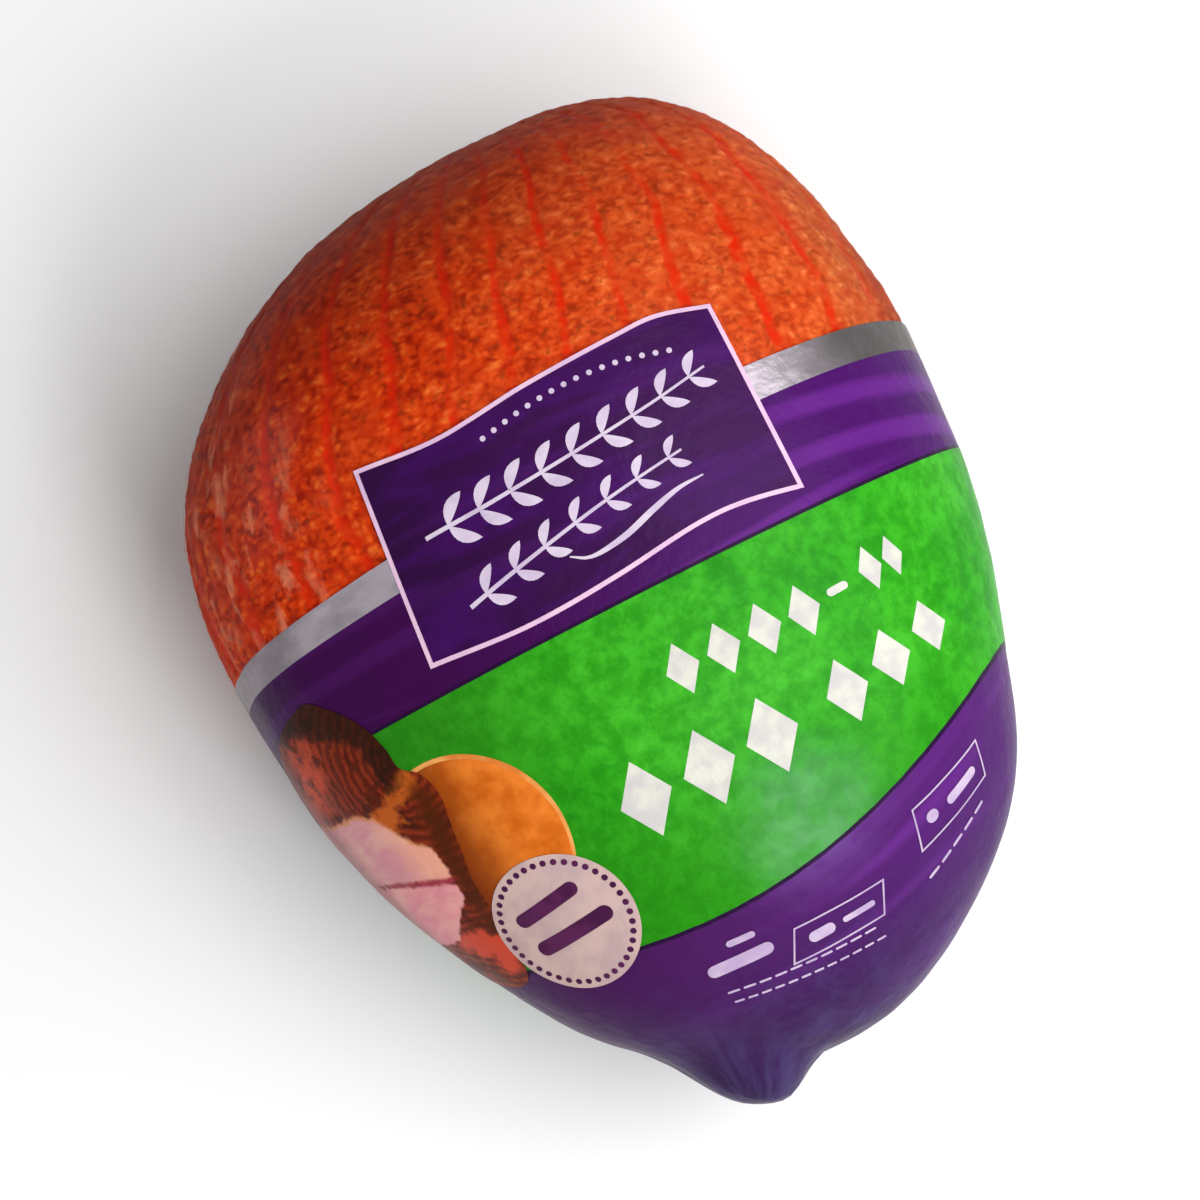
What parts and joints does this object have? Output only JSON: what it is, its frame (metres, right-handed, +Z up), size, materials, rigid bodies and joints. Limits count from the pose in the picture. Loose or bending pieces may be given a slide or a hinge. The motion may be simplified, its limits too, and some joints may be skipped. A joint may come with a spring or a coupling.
{
  "type": "packed leg ham",
  "caption": "Whole smoked bone-in leg ham in a tight shrink bag, clear at the broad butt end and printed over the rest down to the shank knob.",
  "frame": {"origin": "on the floor under the middle of the pack's outline", "axes": "+Y from the shank knob to the butt end, +Z up out of the printed front, +X to the right with the butt end away from the viewer"},
  "size_m": [0.2622, 0.3426, 0.168],
  "materials": {
    "printed_film": "soft gloss printed shrink film, in purple, green and silver fields",
    "clear_film": "clear glossy shrink film",
    "smoked_rind": "smoked rind, moist, with a knitted net's marks"
  },
  "bodies": {
    "root": {"ham_pack": "printed_film"}
  },
  "joints": []
}
